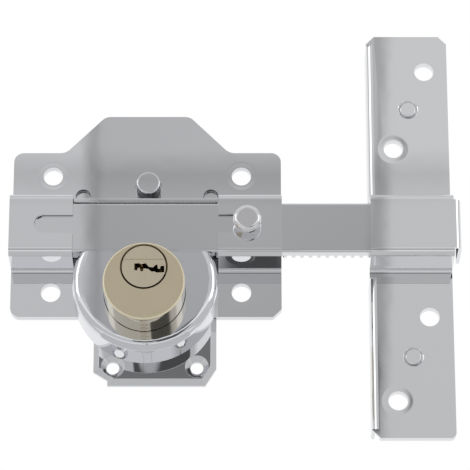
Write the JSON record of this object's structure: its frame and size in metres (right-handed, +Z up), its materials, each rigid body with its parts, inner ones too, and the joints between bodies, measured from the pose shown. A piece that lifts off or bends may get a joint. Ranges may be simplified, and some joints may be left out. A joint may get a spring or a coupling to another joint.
{
  "type": "rim deadbolt",
  "caption": "Rim deadbolt with a knob and key driven sliding bar in two raised loops, a round cylinder in a drawn cup, and a looped keeper plate.",
  "frame": {"origin": "where the axis of the cylinder's plug meets the door face", "axes": "+X the way the bolt is thrown, +Y into the door, +Z up; the face of the lock looks along -Y"},
  "size_m": [0.1601, 0.065, 0.1546],
  "materials": {
    "chrome_plate": "bright chrome on pressed steel",
    "nickel_brass": "satin nickel on turned brass",
    "pin_brass": "turned",
    "spring_steel": "drawn wire",
    "guide_steel": "zinc plated"
  },
  "bodies": {
    "case": {"back_plate": "chrome_plate", "front_plate": "chrome_plate", "case_rivets": "chrome_plate", "case_stud": "chrome_plate", "bolt_guide": "guide_steel", "guide_rivets": "guide_steel", "cylinder_cup": "chrome_plate", "lower_fixing_plate": "chrome_plate", "cylinder_body": "nickel_brass", "front_driver_pins": "pin_brass", "rear_driver_pins": "pin_brass", "front_pin_springs": "spring_steel", "rear_pin_springs": "spring_steel", "front_chamber_plugs": "pin_brass", "rear_chamber_plugs": "pin_brass", "keeper_plate": "chrome_plate", "keeper_back_plate": "chrome_plate", "keeper_rivets": "chrome_plate"},
    "bolt": {"bolt_bar": "chrome_plate", "knob": "chrome_plate"},
    "plug": {"front_plug": "nickel_brass", "rear_plug": "nickel_brass", "front_key_pins": "pin_brass", "rear_key_pins": "pin_brass", "front_clip": "spring_steel", "rear_clip": "spring_steel", "pinion": "guide_steel"}
  },
  "joints": [
    {"name": "bolt_slide", "type": "slide", "parent": "case", "child": "bolt", "axis": [1, 0, 0], "range_m": [-0.072, 0]},
    {"name": "key_turn", "type": "hinge", "parent": "case", "child": "plug", "pos_m": [0, 0, 0], "axis": [0, 1, 0], "range_deg": [-360, 0]}
  ],
  "couplings": [
    {"joint": "key_turn", "follows": "bolt_slide", "rad_per_m": 87.266}
  ]
}
